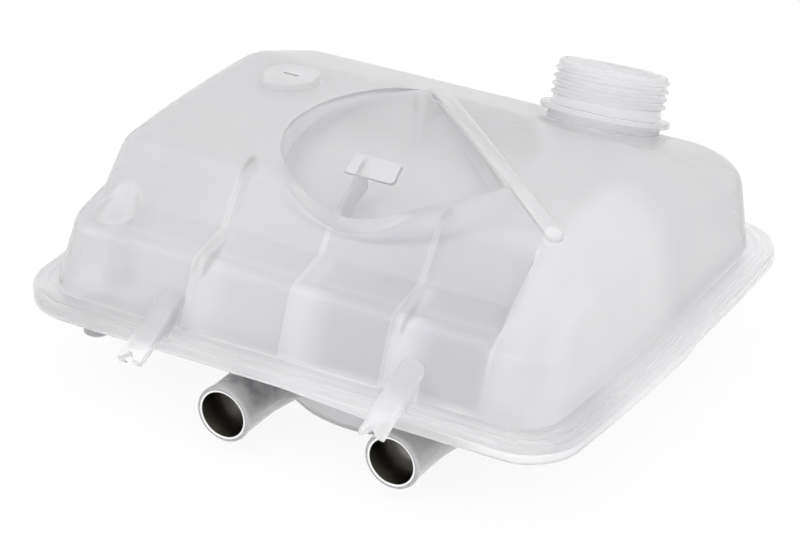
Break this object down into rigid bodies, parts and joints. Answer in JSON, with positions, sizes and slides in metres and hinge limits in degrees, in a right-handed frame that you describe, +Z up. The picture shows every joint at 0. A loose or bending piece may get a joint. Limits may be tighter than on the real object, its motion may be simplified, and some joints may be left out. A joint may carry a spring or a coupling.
{
  "type": "coolant expansion tank",
  "caption": "Translucent welded plastic coolant tank with a leaning threaded filler neck, round recess in its top, clip hooks on the flange and metal-lined hose spigots below.",
  "frame": {"origin": "tip of the locating pin, on its axis", "axes": "+X along the front to the filler neck's side, +Y from the spigots to the back, +Z up through the flat top"},
  "size_m": [0.3109, 0.2781, 0.1389],
  "materials": {
    "tank_plastic": "translucent natural polypropylene, satin",
    "sleeve_metal": "dark rolled steel with a bright lip"
  },
  "bodies": {
    "root": {"upper_shell": "tank_plastic", "lower_shell": "tank_plastic", "left_sleeve": "sleeve_metal", "right_sleeve": "sleeve_metal"}
  },
  "joints": []
}
